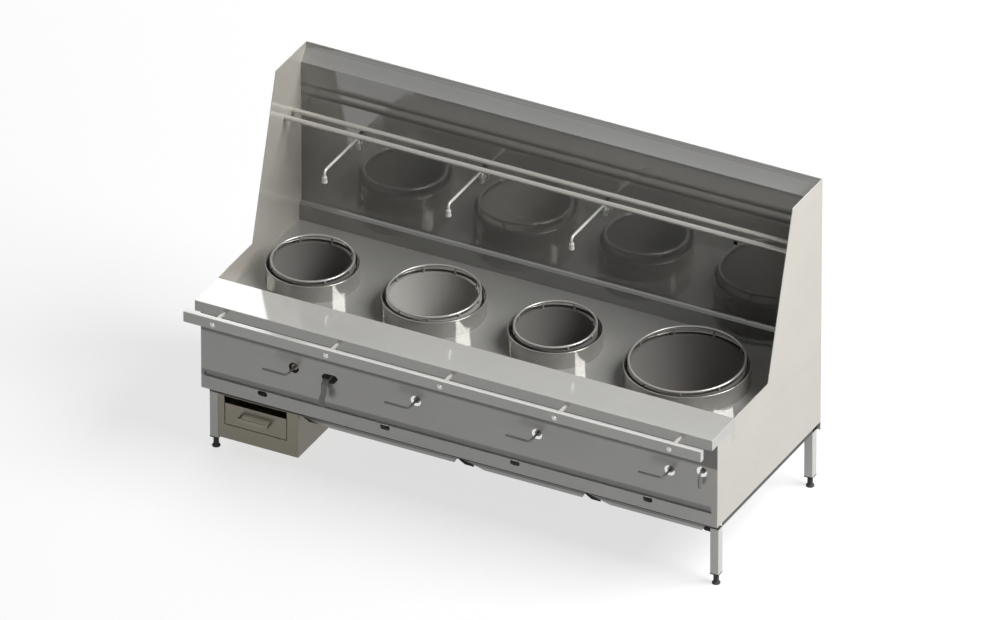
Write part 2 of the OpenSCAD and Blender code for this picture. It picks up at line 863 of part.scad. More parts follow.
// Tap body on the backsplash: rosette, shank and an upright socket
module tap_body(i) {
    y = main_y - tap_stand;
    color(dark_steel) from_ledge() translate([x_at(tap_shares[i]), 0, tap_z]) difference() {
        union() {
            rod_y(0, 0, main_y - tap_rosette_t, main_y, tap_rosette_d);
            rod_y(0, 0, y, cavity_y - tee_d / 2, tap_shank_d);
            translate([0, y, -tap_socket_low])
                cylinder(d = tap_socket_d, h = tap_socket_low + tap_socket_high);
        }
        translate([0, y, tap_socket_high - tap_bore_l])
            cylinder(d = spout_d + 2 * stem_clear, h = tap_bore_l + over);
    }
}
module tap_body_1() { tap_body(0); }
module tap_body_2() { tap_body(1); }
module tap_body_3() { tap_body(2); }

// Swing spout: stem, forward run and a short turn down
module tap_spout(i) {
    y = main_y - tap_stand;
    color(steel) from_ledge() translate([x_at(tap_shares[i]), 0, tap_z])
        bent_bar([
            [0, y, tap_socket_high - tap_bore_l + seat_clear],
            [0, y, spout_rise],
            [0, y - spout_reach, spout_rise],
            [0, y - spout_reach, spout_rise - spout_drop + nozzle_l]
        ], spout_d, spout_bend);
}
module tap_spout_1() { tap_spout(0); }
module tap_spout_2() { tap_spout(1); }
module tap_spout_3() { tap_spout(2); }

// Nozzle on the end of a spout
module tap_nozzle(i) {
    y = main_y - tap_stand - spout_reach;
    color(pale_steel) from_ledge()
        translate([x_at(tap_shares[i]), y, tap_z + spout_rise - spout_drop]) difference() {
            union() {
                cylinder(d = nozzle_d, h = nozzle_l);
                cylinder(d = nozzle_d + 2 * nozzle_ring_w, h = nozzle_ring_h);
            }
            translate([0, 0, -over]) cylinder(d = nozzle_bore_d, h = nozzle_bore_l + over);
        }
}
module tap_nozzle_1() { tap_nozzle(0); }
module tap_nozzle_2() { tap_nozzle(1); }
module tap_nozzle_3() { tap_nozzle(2); }

// Utensil rails from cheek to cheek
module utensil_rail(y) {
    color(steel) from_ledge() translate([-in_x, y, rail_z]) rotate([0, 90, 0]) difference() {
        cylinder(d = rail_d, h = 2 * in_x);
        translate([0, 0, -over]) cylinder(d = rail_d - 2 * rail_wall, h = 2 * (in_x + over));
    }
}
module rear_utensil_rail() { utensil_rail(rail_back_y); }
module front_utensil_rail() { utensil_rail(rail_front_y); }

// Dark caps over the taps' upper fixing bolts
module tap_caps() {
    z = tap_z + tap_cap_rise;
    color(iron) from_ledge() for (share = tap_shares) {
        rod_y(x_at(share), z, main_y - tap_cap_t, main_y, tap_cap_d);
        rod_y(x_at(share), z, main_y - 2 * tap_cap_t, main_y - tap_cap_t, tap_cap_d - tap_cap_t);
    }
}

// Bumper: a capped hollow bar with a drain hole, its standoffs and the bolt heads on its face
module bumper_bar() {
    w = bumper_wall;
    color(steel) from_ledge() difference() {
        box(-half_l, half_l, bumper_y, -bumper_gap, -bumper_h, 0);
        box(w - half_l, half_l - w, bumper_y + w, -bumper_gap - w, w - bumper_h, -w);
        translate([0, bumper_y + bumper_t / 2, -bumper_h - over])
            cylinder(d = drain_d, h = w + 2 * over);
    }
}
function standoff_x(k) = x_at(standoff_first_share
    + k * (standoff_last_share - standoff_first_share) / (standoff_count - 1));
module bumper_standoffs() {
    color(pale_steel) from_ledge() for (k = [0:standoff_count - 1])
        rod_y(standoff_x(k), bumper_z, -bumper_gap, 0, standoff_d);
}
module bumper_bolts() {
    dome_r = (pow(bolt_head_d / 2, 2) + pow(bolt_head_h, 2)) / (2 * bolt_head_h);
    color(dark_steel) from_ledge() for (k = [0:standoff_count - 1])
        translate([standoff_x(k), bumper_y, bumper_z]) rotate([90, 0, 0]) intersection() {
            translate([0, 0, bolt_head_h - dome_r]) sphere(r = dome_r);
            cylinder(r = dome_r, h = bolt_head_h + over);
        }
}

// Drawer cabinet hung under the frame beside the left front leg
module drawer_cabinet() {
    x1 = cabinet_x + cabinet_w;
    y1 = leg_d + cabinet_d;
    color(olive_steel) from_ledge() difference() {
        box(cabinet_x, x1, leg_d, y1, cabinet_low, frame_low);
        box(cabinet_x + sheet_t, x1 - sheet_t, leg_d + sheet_t, y1 - sheet_t,
            cabinet_low + sheet_t, frame_low - sheet_t);
        box(opening_x, opening_x + opening_w, leg_d - over, leg_d + sheet_t + over,
            opening_low, opening_low + opening_h);
    }
}

// Angle runners beside the opening, from the cabinet's front to its back
module drawer_runners() {
    y0 = leg_d + sheet_t;
    y1 = leg_d + cabinet_d - sheet_t;
    top = drawer_low - seat_clear;
    for (side = [0, 1])
        color(steel) from_ledge() translate([opening_x + side * opening_w, 0, 0])
            mirror([side, 0, 0]) {
                box(-runner_t, 0, y0, y1, top - runner_t, top + runner_h);
                box(0, runner_w, y0 + drawer_gap, y1, top - runner_t, top);
            }
}

// Drawer: an open box whose front stands higher than its sides
module drawer() {
    side_h = drawer_front_h - drawer_side_in;
    color(olive_steel) from_ledge() translate([drawer_x, leg_d, drawer_low]) {
        cube([drawer_w, sheet_t, drawer_front_h]);
        difference() {
            cube([drawer_w, drawer_l, side_h]);
            translate([sheet_t, sheet_t, sheet_t])
                cube([drawer_w - 2 * sheet_t, drawer_l - 2 * sheet_t, side_h]);
        }
    }
}

// Handle of the drawer: a flat strip bent out and back
module drawer_handle() {
    path = [
        [-handle_w / 2, 0], [-handle_w / 2, -handle_reach],
        [handle_w / 2, -handle_reach], [handle_w / 2, 0]
    ];
    z = drawer_low + drawer_front_h * handle_height_share - handle_strip / 2;
    color(steel) from_ledge() translate([drawer_x + drawer_w / 2, leg_d, z])
        linear_extrude(handle_strip) fold(path, handle_t);
}

// Slanted bay panels under the fascia, with their ends cut on the slant
module bay_panels() {
    path = [
        [leg_d, bay_top], [bay_front, bay_top], [bay_front + bay_slope, bay_top - bay_slope]
    ];
    color(pale_steel) from_ledge() for (ends = bay_ends) intersection() {
        along_x(ends[0], ends[1]) fold(path, sheet_t);
        along_y(bay_front - over, bay_front + bay_slope + leg_d) polygon([
            [ends[0], bay_top + over], [ends[1], bay_top + over], [ends[1], bay_top - sheet_t],
            [ends[1] - bay_slant, bay_top - bay_slope - over],
            [ends[0] + bay_slant, bay_top - bay_slope - over], [ends[0], bay_top - sheet_t]
        ]);
    }
}

// Wedges behind the slanted ends of the bay panels
module bay_dividers() {
    behind = sheet_t * sqrt(2);
    outline = [
        [bay_front + bay_top - frame_low + behind, frame_low],
        [bay_front + bay_slope, bay_top - bay_slope + behind],
        [bay_front + bay_slope, frame_low]
    ];
    color(dark_steel) from_ledge() for (x = divider_xs)
        along_x(x - divider_w / 2, x + divider_w / 2) polygon(outline);
}

// Base frame of angle bar: the long rails, and the cross rails between them
module angle_bar() {
    polygon([
        [0, 0], [angle_t, 0], [angle_t, angle_w - angle_t], [angle_w, angle_w - angle_t],
        [angle_w, angle_w], [0, angle_w]
    ]);
}
module frame_long_rails() {
    x = half_l - leg_inset;
    color(dark_steel) from_ledge() along_x(-x, x) {
        translate([leg_d, frame_low]) angle_bar();
        translate([rear_y, frame_low]) mirror([1, 0]) angle_bar();
    }
}
module frame_cross_rails() {
    x = half_l - leg_inset;
    color(dark_steel) from_ledge() along_y(leg_d + angle_w, frame_rear) {
        translate([-x, frame_low]) angle_bar();
        translate([x, frame_low]) mirror([1, 0]) angle_bar();
        for (share = divider_shares) translate([x_at(share), frame_low]) angle_bar();
    }
}

// Square legs and the feet that close them
module at_legs() {
    for (x = [-leg_x - leg_w, leg_x], y = [leg_d, rear_y - leg_w])
        translate([x, y, -work_h]) children();
}
module legs() {
    h = work_h + frame_low - foot_h;
    color(steel) from_ledge() at_legs() translate([0, 0, foot_h]) difference() {
        cube([leg_w, leg_w, h]);
        translate([leg_wall, leg_wall, -over])
            cube([leg_w - 2 * leg_wall, leg_w - 2 * leg_wall, h + 2 * over]);
    }
}
module feet() {
    color(iron) from_ledge() at_legs() {
        translate([0, 0, foot_h - foot_flange_h]) cube([leg_w, leg_w, foot_flange_h]);
        translate([leg_w / 2, leg_w / 2, 0]) rotate_extrude() polygon([
            [0, 0], [foot_d / 2, 0], [foot_d / 2, foot_flange_h], [foot_neck_d / 2, 2 * foot_flange_h],
            [foot_neck_d / 2, foot_h - 2 * foot_flange_h], [foot_d / 2, foot_h - foot_flange_h],
            [0, foot_h - foot_flange_h]
        ]);
    }
}

front_ledge();
burner_deck();
left_cheek();
right_cheek();
backsplash();
rear_panel();
left_side_panel();
right_side_panel();
front_fascia();
collar_1();
collar_2();
collar_3();
collar_4();
chamber_1();
chamber_2();
chamber_3();
chamber_4();
wok_ring_1();
wok_ring_2();
wok_ring_3();
wok_ring_4();
burner_heads();
gas_manifold();
gas_supply_pipe();
gas_valves();
burner_feed_pipes();
valve_lever_1();
valve_lever_2();
valve_lever_3();
valve_lever_4();
knee_lever();
knee_lever_bracket();
water_valve();
water_valve_handle();
water_pipe();
tap_body_1();
tap_body_2();
tap_body_3();
tap_spout_1();
tap_spout_2();
tap_spout_3();
tap_nozzle_1();
tap_nozzle_2();
tap_nozzle_3();
rear_utensil_rail();
front_utensil_rail();
tap_caps();
bumper_bar();
bumper_standoffs();
bumper_bolts();
drawer_cabinet();
drawer_runners();
drawer();
drawer_handle();
bay_panels();
bay_dividers();
frame_long_rails();
frame_cross_rails();
legs();
feet();
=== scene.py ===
# %% [markdown]
# # Dressing a wok range
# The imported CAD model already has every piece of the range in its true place. Here each piece
# gets the look of the real thing: folded edges, turned and welded details, and satin steel that
# mirrors its neighbours. Lengths are metres, X runs along the front, Y runs back and Z is up.

# %% Load the frame
import json
import math

import bmesh
import bpy
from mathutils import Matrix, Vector


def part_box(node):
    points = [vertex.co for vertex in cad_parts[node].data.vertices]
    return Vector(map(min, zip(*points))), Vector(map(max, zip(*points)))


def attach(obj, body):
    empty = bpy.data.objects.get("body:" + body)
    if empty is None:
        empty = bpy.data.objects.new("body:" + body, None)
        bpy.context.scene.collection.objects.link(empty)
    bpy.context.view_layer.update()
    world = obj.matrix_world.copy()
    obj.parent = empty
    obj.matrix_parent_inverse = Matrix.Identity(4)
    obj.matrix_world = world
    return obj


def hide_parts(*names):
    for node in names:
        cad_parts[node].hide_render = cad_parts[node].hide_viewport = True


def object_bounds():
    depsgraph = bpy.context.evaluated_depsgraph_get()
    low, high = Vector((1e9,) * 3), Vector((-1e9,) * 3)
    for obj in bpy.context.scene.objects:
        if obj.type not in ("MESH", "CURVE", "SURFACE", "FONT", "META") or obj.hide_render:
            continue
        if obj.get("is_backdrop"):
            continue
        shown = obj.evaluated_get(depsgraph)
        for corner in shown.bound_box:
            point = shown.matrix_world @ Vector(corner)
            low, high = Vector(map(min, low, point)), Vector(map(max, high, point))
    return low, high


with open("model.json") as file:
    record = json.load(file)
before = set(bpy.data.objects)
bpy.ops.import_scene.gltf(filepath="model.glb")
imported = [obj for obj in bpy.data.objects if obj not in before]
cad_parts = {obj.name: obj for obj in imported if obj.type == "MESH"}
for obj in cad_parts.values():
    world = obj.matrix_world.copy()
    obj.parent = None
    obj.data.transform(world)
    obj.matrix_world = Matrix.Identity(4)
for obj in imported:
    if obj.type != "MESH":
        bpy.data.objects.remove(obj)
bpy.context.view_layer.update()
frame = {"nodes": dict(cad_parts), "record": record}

# %% [markdown]
# ## Camera
# The photograph was taken from far away, so edges that are parallel on the range stay parallel in
# the picture. A very long lens far away does the same, and keeps a true perspective camera.
# The aim point is what lies in the middle of the picture.

# %% Camera
view_turn = math.radians(27.5)
view_rise = math.radians(31.4)
view_distance = 100.0
view_width = 4.195
aim = Vector((-0.035, 0.0525, 0.784))

toward_camera = Vector((
    math.sin(view_turn) * math.cos(view_rise),
    -math.cos(view_turn) * math.cos(view_rise),
    math.sin(view_rise),
))
camera = bpy.data.objects.new("camera", bpy.data.cameras.new("camera"))
camera.data.lens = camera.data.sensor_width * view_distance / view_width
camera.location = aim + toward_camera * view_distance
camera.rotation_euler = (-toward_camera).to_track_quat("-Z", "Y").to_euler()
camera.data.clip_end = 2 * view_distance
bpy.context.scene.collection.objects.link(camera)
bpy.context.scene.camera = camera
bpy.context.scene.view_settings.view_transform = "Standard"
print("lens", round(camera.data.lens, 1), "mm")

# %% [markdown]
# ## Writing node maths as Python
# Materials and Geometry Nodes are both graphs of nodes. A small wrapper lets us write the maths in
# them as plain expressions: adding two wrapped sockets places a Math node and links it. Every
# other node comes from one method, which takes the node's type, its settings and its inputs.

# %% Sockets that do maths
class Value:
    """An output socket. Arithmetic on it adds Math nodes to its tree."""

    def __init__(self, nodes, socket):
        self.nodes, self.socket = nodes, socket

    def math(self, operation, first, second):
        return self.nodes.add("ShaderNodeMath", {"operation": operation}, {0: first, 1: second})

    def __add__(self, other):
        return self.math("ADD", self, other)

    def __radd__(self, other):
        return self.math("ADD", other, self)

    def __sub__(self, other):
        return self.math("SUBTRACT", self, other)

    def __rsub__(self, other):
        return self.math("SUBTRACT", other, self)

    def __mul__(self, other):
        return self.math("MULTIPLY", self, other)

    def __rmul__(self, other):
        return self.math("MULTIPLY", other, self)

    def __gt__(self, other):
        return self.math("GREATER_THAN", self, other)


class Nodes:
    """A node tree with one way to add a node."""

    def __init__(self, tree):
        self.tree = tree

    def add(self, kind, settings=None, inputs=None, out=0):
        node = self.tree.nodes.new(kind)
        for name, setting in (settings or {}).items():
            if name == "stops":
                self.set_stops(node.color_ramp, setting)
            else:
                setattr(node, name, setting)
        for name, value in (inputs or {}).items():
            if isinstance(value, Value):
                self.tree.links.new(value.socket, node.inputs[name])
            elif isinstance(value, list):
                for part in value:
                    self.tree.links.new(part.socket, node.inputs[name])
            else:
                node.inputs[name].default_value = value
        return Value(self, node.outputs[out]) if node.outputs else node

    @staticmethod
    def set_stops(ramp, stops):
        while len(ramp.elements) < len(stops):
            ramp.elements.new(1.0)
        for element, (place, level) in zip(ramp.elements, stops):
            element.position = place
            element.color = (level, level, level, 1.0)


print("socket maths ready")

# %% [markdown]
# ## Floor, surroundings and lamps
# The range stands in a white studio. Camera rays and mirror rays see white walls under a grey
# ceiling, while the light that falls on the steel comes mainly from one broad lamp above the right
# end, so that faces which look up or right are light and faces which look forward are darker. A
# soft panel behind the left end is there for the ledge and the bumper to mirror.

# %% Surroundings
def seen_in_mirrors(nodes):
    camera_ray, mirror_ray, clear_ray = (
        nodes.add("ShaderNodeLightPath", {}, {}, name)
        for name in ("Is Camera Ray", "Is Glossy Ray", "Is Transmission Ray"))
    return camera_ray + mirror_ray + clear_ray


white = (1.0, 1.0, 1.0, 1.0)
fill_level, wall_level, ceiling_level = 0.07, 1.0, 0.5
walls_up_to, ceiling_from = 0.25, 0.6

world = bpy.data.worlds.new("studio")
world.use_nodes = True
bpy.context.scene.world = world
around = Nodes(world.node_tree)
world.node_tree.nodes.clear()
facing = around.add("ShaderNodeTexCoord", {}, {}, "Generated")
upward = around.add("ShaderNodeSeparateXYZ", {}, {0: facing}, "Z")
room = around.add("ShaderNodeMapRange", {}, {
    "Value": upward, "From Min": walls_up_to, "From Max": ceiling_from,
    "To Min": wall_level, "To Max": ceiling_level})
walls = around.add("ShaderNodeBackground", {}, {
    "Color": white,
    "Strength": fill_level + (room - fill_level) * seen_in_mirrors(around),
})
around.add("ShaderNodeOutputWorld", {}, {"Surface": walls})
print("surroundings", world.name)

# %% Floor
floor_half = 60.0
floor_glow = 0.7
floor_white = (0.33, 0.33, 0.33, 1.0)
floor_bounce = (0.1, 0.1, 0.097, 1.0)

floor_mesh = bpy.data.meshes.new("floor")
floor_mesh.from_pydata(
    [(-floor_half, -floor_half, 0), (floor_half, -floor_half, 0),
     (floor_half, floor_half, 0), (-floor_half, floor_half, 0)], [], [(0, 1, 2, 3)])
floor = bpy.data.objects.new("floor", floor_mesh)
bpy.context.scene.collection.objects.link(floor)
floor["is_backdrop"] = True

paper = bpy.data.materials.new("studio_paper")
paper.use_nodes = True
paper.node_tree.nodes.clear()
sweep = Nodes(paper.node_tree)
glow = sweep.add("ShaderNodeEmission", {}, {"Color": white, "Strength": floor_glow})
matt = sweep.add("ShaderNodeBsdfDiffuse", {}, {"Color": floor_white})
lit = sweep.add("ShaderNodeAddShader", {}, {0: glow, 1: matt})
bounce = sweep.add("ShaderNodeBsdfDiffuse", {}, {"Color": floor_bounce})
seen = sweep.add("ShaderNodeMixShader", {}, {0: seen_in_mirrors(sweep), 1: bounce, 2: lit})
sweep.add("ShaderNodeOutputMaterial", {}, {"Surface": seen})
floor_mesh.materials.append(paper)
print("floor", 2 * floor_half, "m wide")

# %% Lamps
def soft_lamp(name, place, aim_at, width, power):
    lamp = bpy.data.objects.new(name, bpy.data.lights.new(name, "AREA"))
    lamp.data.shape = "SQUARE"
    lamp.data.size = width
    lamp.data.energy = power
    lamp.location = place
    lamp.rotation_euler = (aim_at - place).to_track_quat("-Z", "Y").to_euler()
    lamp.visible_camera = False
    bpy.context.scene.collection.objects.link(lamp)
    print(name, power, "W")


range_middle = Vector((0.0, 0.0, 0.75))
right_end = Vector((1.0, 0.0, 0.6))
ledge_end = Vector((-1.0, -0.4, 0.77))
key_place = range_middle + 12.0 * Vector((0.69, 0.09, 0.71))
right_place = Vector((9.0, 1.0, 1.6))
panel_place = ledge_end + 8.0 * Vector((-0.394, 0.757, 0.521))
soft_lamp("key_lamp", key_place, range_middle, width=8.0, power=1900.0)
soft_lamp("right_lamp", right_place, right_end, width=4.0, power=70.0)
soft_lamp("mirror_panel", panel_place, ledge_end, width=5.0, power=160.0)

# %% [markdown]
# ## Steel
# Stainless sheet is ground with a belt, so its surface is a mirror with thousands of fine straight
# lines. One belt-ground finish serves nearly all sheets: noise stretched a hundredfold along the
# grain gives the lines, slow noise gives wiping marks, and a very gentle bump lets mirrored edges
# waver as they do in thin sheet. The colour is a little warm, as steel looks in a kitchen.

# %% The finish class
class Finish(Nodes):
    """A material whose maps are written as maths on object coordinates."""

    # sockets of a Mix node that is set to colours
    share_in, first_in, second_in, mixed_out = 0, 6, 7, 2

    def __init__(self, name):
        self.material = bpy.data.materials.new(name)
        self.material.use_nodes = True
        super().__init__(self.material.node_tree)
        self.tree.nodes.clear()
        self.place = self.add("ShaderNodeTexCoord", {}, {}, "Object")

    def stretch(self, scale):
        return self.add("ShaderNodeMapping", {}, {"Vector": self.place, "Scale": scale})

    def noise(self, where, detail=2.0, roughness=0.5):
        return self.add("ShaderNodeTexNoise", {}, {
            "Vector": where, "Scale": 1.0, "Detail": detail, "Roughness": roughness})

    def axis(self, name):
        return self.add("ShaderNodeSeparateXYZ", {}, {0: self.place}, name)

    def steps(self, value, *stops):
        return self.add("ShaderNodeValToRGB", {"stops": stops}, {0: value})

    def tint(self, share, first, second):
        first, second = (
            tone if isinstance(tone, Value) else (*tone, 1.0) for tone in (first, second))
        return self.add("ShaderNodeMix", {"data_type": "RGBA"}, {
            self.share_in: share, self.first_in: first, self.second_in: second}, self.mixed_out)

    def relief(self, height, depth, strength=1.0, under=None):
        inputs = {"Height": height, "Distance": depth, "Strength": strength}
        if under:
            inputs["Normal"] = under
        return self.add("ShaderNodeBump", {}, inputs)

    def close(self, **inputs):
        named = {
            name.replace("_", " ").title().replace("Ior", "IOR"): value
            for name, value in inputs.items()
        }
        surface = self.add("ShaderNodeBsdfPrincipled", {}, named)
        self.add("ShaderNodeOutputMaterial", {}, {"Surface": surface})
        print("finish", self.material.name)
        return self.material


def shade(tone, level):
    return tuple(channel * level for channel in tone)


def grain_scale(axis, along, across):
    return tuple(along if name == axis else across for name in "XYZ")


# %% Belt-ground sheet
grain_along, grain_across = 5.0, 750.0
line_depth = 0.00004
wipe_scale, dull_scale = (2.3, 3.1, 2.7), (9.0, 8.0, 10.0)
buckle_scale, buckle_depth = (1.7, 1.9, 2.1), 0.00012
mirror_share = 0.3
# level that the darker maps paint a sheet towards, mostly as painted shade and painted shadow
painted_shade_level = 0.3


def ground_sheet(name, tone, grain="X", metal=mirror_share, rough=0.09, dark=None):
    steel = Finish(name)
    lines = steel.noise(steel.stretch(grain_scale(grain, grain_along, grain_across)), 3.0, 0.6)
    wiped = steel.noise(steel.stretch(wipe_scale), 4.0, 0.55)
    patches = steel.steps(wiped, (0.35, 0.0), (0.68, 1.0))
    dull = steel.noise(steel.stretch(dull_scale), 5.0, 0.65)
    colour = steel.tint(0.35 * lines + 0.4 * patches, shade(tone, 0.93), shade(tone, 1.06))
    # the dark map paints the sheet darker towards this level, mostly as painted shade
    if dark:
        colour = steel.tint(dark(steel), colour, shade(tone, painted_shade_level))
    buckle = steel.relief(steel.noise(steel.stretch(buckle_scale), 0.0), buckle_depth)
    normal = steel.relief(lines, line_depth, 0.25, buckle)
    return steel.close(
        base_color=colour, metallic=metal, normal=normal,
        roughness=rough - 0.03 + 0.05 * dull + 0.03 * lines)


print("grain lines per metre", grain_across)

# %% [markdown]
# Each function below gives 0 where its sheet keeps its plain tone and more where it is painted
# darker, mostly as painted shade and painted shadow.
# Drops and skins are measured down from a piece's top, strips from the floor.

# %% Where sheets are darker
ledge_skin, bumper_skin = 0.003, 0.002
slope_drop, lip_drop = 0.0745, 0.0275
# heights of the fascia's painted shadow under the ledge and of the painted shade in its band
ledge_shadow_strip = (0.596, 0.0), (0.604, 1.0)
band_shade_strip = (0.378, 0.0), (0.38, 1.0), (0.408, 1.0), (0.413, 0.0)
band_end_gap = 0.028
# drops of the painted shade on the bay panels' upper edge
gap_shade_low_drop, gap_shade_high_drop = 0.045, 0.035


def apron_painted_shade(steel):
    """The ledge's front face, painted darker as shade: it looks away from the lamps and sits behind
    the bumper.
    """
    ledge_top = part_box("front_ledge")[1].z
    return 0.3 * (1.0 - (steel.axis("Z") > ledge_top - ledge_skin))


def bumper_darker_top(steel):
    """The bumper's top, a little darker than its front."""
    bumper_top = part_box("bumper_bar")[1].z
    return 0.2 * (steel.axis("Z") > bumper_top - bumper_skin)


def splash_painted_shade(steel):
    """The backsplash below its slope, and the lip above it, painted darker as shade; only the
    slope, which faces up towards the light, stays bright.
    """
    splash_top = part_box("backsplash")[1].z
    height = steel.axis("Z")
    below_slope = 1.0 - (height > splash_top - slope_drop)
    on_lip = height > splash_top - lip_drop
    return 0.48 * below_slope + 0.3 * on_lip


def fascia_painted_shade(steel):
    """The fascia's strip close under the ledge, painted dark as the bumper's shadow, and its
    pressed band, painted dark as shade in its recess.
    """
    fascia_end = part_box("front_fascia")[1].x
    height = steel.axis("Z")
    past_band = steel.axis("X") > fascia_end - band_end_gap
    in_band = steel.steps(height, *band_shade_strip) * (1.0 - past_band)
    return 0.85 * steel.steps(height, *ledge_shadow_strip) + 0.62 * in_band


def bay_gap_painted_shade(steel):
    """The bay panels' upper edge, painted dark as the shade in the gap under the fascia."""
    bay_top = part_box("bay_panels")[1].z
    return steel.steps(
        steel.axis("Z"), (bay_top - gap_shade_low_drop, 0.0), (bay_top - gap_shade_high_drop, 1.0))


print("darker strips on five sheets")

# %% Sheets of the range
# all these sheets are one warm steel; the deck's and backsplash's low levels are painted shade, for
# a deck sunk between the cheeks and a backsplash that faces away from the lamps
warm_steel = (0.66, 0.655, 0.63)
ledge_steel = ground_sheet("ledge_steel", shade(warm_steel, 1.02), rough=0.06, dark=apron_painted_shade)
deck_steel = ground_sheet("deck_steel", shade(warm_steel, 0.75), metal=0.42, rough=0.06)
cheek_steel = ground_sheet("cheek_steel", (0.6, 0.572, 0.52), grain="Z", metal=0.34)
splash_steel = ground_sheet(
    "splash_steel", shade(warm_steel, 0.72), metal=0.42, rough=0.05, dark=splash_painted_shade)
fascia_steel = ground_sheet("fascia_steel", shade(warm_steel, 0.84), rough=0.3, dark=fascia_painted_shade)
back_steel = ground_sheet("back_steel", shade(warm_steel, 0.85), grain="Z", rough=0.22)
bumper_steel = ground_sheet("bumper_steel", shade(warm_steel, 0.92), rough=0.18, dark=bumper_darker_top)
bay_steel = ground_sheet("bay_steel", shade(warm_steel, 0.46), metal=0.8, rough=0.5, dark=bay_gap_painted_shade)
leg_steel = ground_sheet("leg_steel", warm_steel, grain="Z", rough=0.2)

# %% [markdown]
# ## Turned, drawn and cast finishes
# Collars and fire chambers are turned, so their lines run round them: the same stretched noise with
# only its height scaled up draws level rings on any upright round piece. Tubes are drawn and shine
# more. Fire browns the steel nearest the jets, which a ramp on the height shows.

# %% Turned steel
turning_scale, smoke_scale = (7.0, 7.0, 620.0), (14.0, 14.0, 20.0)
scorched = (0.2, 0.15, 0.1)
chamber_heat = (0.5, 1.0), (0.62, 0.0)


def turned_steel(name, tone, rough, metal, heat_strip=None, gloss=0.5):
    steel = Finish(name)
    rings = steel.noise(steel.stretch(turning_scale), 3.0, 0.6)
    smoky = steel.noise(steel.stretch(smoke_scale), 5.0, 0.6)
    colour = steel.tint(0.5 * rings + 0.3 * smoky, shade(tone, 0.92), shade(tone, 1.06))
    roughness = rough - 0.02 + 0.05 * smoky + 0.03 * rings
    if heat_strip:
        heat = steel.steps(steel.axis("Z") + 0.05 * smoky, *heat_strip)
        colour = steel.tint(0.75 * heat, colour, scorched)
        roughness = roughness + 0.25 * heat
    normal = steel.relief(rings, line_depth, 0.04)
    return steel.close(
        base_color=colour, metallic=metal, roughness=roughness, normal=normal,
        specular_ior_level=gloss)


collar_steel = turned_steel("collar_steel", (0.4, 0.39, 0.365), 0.06, 0.5)
# chamber 2 is given a lighter tone than the other three
used_chamber = turned_steel("used_chamber", (0.155, 0.151, 0.142), 0.6, 0.0, chamber_heat, 0.1)
clean_chamber = turned_steel("clean_chamber", (0.35, 0.341, 0.318), 0.6, 0.0, chamber_heat, 0.1)
ring_steel = turned_steel("ring_steel", (0.5, 0.492, 0.47), 0.24, 0.5)

# %% Drawn steel
drawn_along, drawn_across, drawn_depth = 4.0, 500.0, 0.00003
touch_scale = (26.0, 26.0, 26.0)


def drawn_steel(name, tone, axis, rough, metal=0.55):
    steel = Finish(name)
    lines = steel.noise(steel.stretch(grain_scale(axis, drawn_along, drawn_across)), 2.0)
    touched = steel.noise(steel.stretch(touch_scale), 5.0, 0.6)
    colour = steel.tint(0.4 * lines + 0.4 * touched, shade(tone, 0.9), shade(tone, 1.06))
    return steel.close(
        base_color=colour, metallic=metal, roughness=rough + 0.1 * touched,
        normal=steel.relief(lines, drawn_depth, 0.3))


rail_steel = drawn_steel("rail_steel", (0.62, 0.6, 0.555), "X", 0.26, 0.35)
spout_steel = drawn_steel("spout_steel", (0.7, 0.69, 0.66), "Y", 0.32, 0.25)
tap_steel = drawn_steel("tap_steel", (0.4, 0.4, 0.385), "Z", 0.3, 0.4)
lever_steel = drawn_steel("lever_steel", (0.26, 0.26, 0.25), "X", 0.42, 0.3)
pipe_steel = drawn_steel("pipe_steel", (0.5, 0.5, 0.49), "X", 0.3)
bolt_steel = drawn_steel("bolt_steel", (0.68, 0.68, 0.66), "Y", 0.16, 0.8)

# %% Olive cabinet, dark bars, brass, iron and feet
speck_fineness = 22


def mottled(name, light, dark, scale, rough, metal=0.0, grit=0.0002, gloss=0.5):
    skin = Finish(name)
    cloud = skin.noise(skin.stretch((scale,) * 3), 5.0, 0.6)
    specks = skin.noise(skin.stretch((scale * speck_fineness,) * 3), 2.0)
    colour = skin.tint(skin.steps(cloud, (0.3, 0.0), (0.7, 1.0)), dark, light)
    return skin.close(
        base_color=colour, metallic=metal, roughness=rough + 0.15 * cloud,
        normal=skin.relief(specks, grit, 0.3), specular_ior_level=gloss)


cabinet_steel = ground_sheet("cabinet_steel", (0.52, 0.48, 0.38), rough=0.3, metal=0.25)
handle_steel = drawn_steel("handle_steel", (0.42, 0.4, 0.34), "X", 0.25, 0.4)
frame_paint = mottled("frame_paint", (0.075, 0.075, 0.075), (0.045, 0.045, 0.045), 8.0, 0.42)
# the bay dividers are painted near black and dull, as the shade deep under the body where they
# stand
divider_black = mottled(
    "divider_black", (0.02, 0.02, 0.02), (0.012, 0.012, 0.012), 9.0, 0.8, gloss=0.1)
cap_black = mottled("cap_black", (0.06, 0.06, 0.06), (0.035, 0.035, 0.035), 30.0, 0.4)
valve_brass = mottled(
    "valve_brass", (0.3, 0.275, 0.225), (0.22, 0.2, 0.165), 30.0, 0.4, 0.6, grit=0.00005)
burner_iron = mottled("burner_iron", (0.14, 0.13, 0.12), (0.08, 0.07, 0.065), 22.0, 0.62, 0.3)
foot_rubber = mottled("foot_rubber", (0.05, 0.05, 0.05), (0.03, 0.03, 0.03), 40.0, 0.6)

# %% [markdown]
# ## Folded edges
# CAD sheets have perfectly sharp folds, but a brake press leaves a small radius that catches a thin
# line of light. Each CAD mesh is copied and merged, flat triangles are joined into whole faces, and
# the outer folds, which are the convex edges between two wide faces, are rounded. The copy then
# stands for its node and rides on the same body.

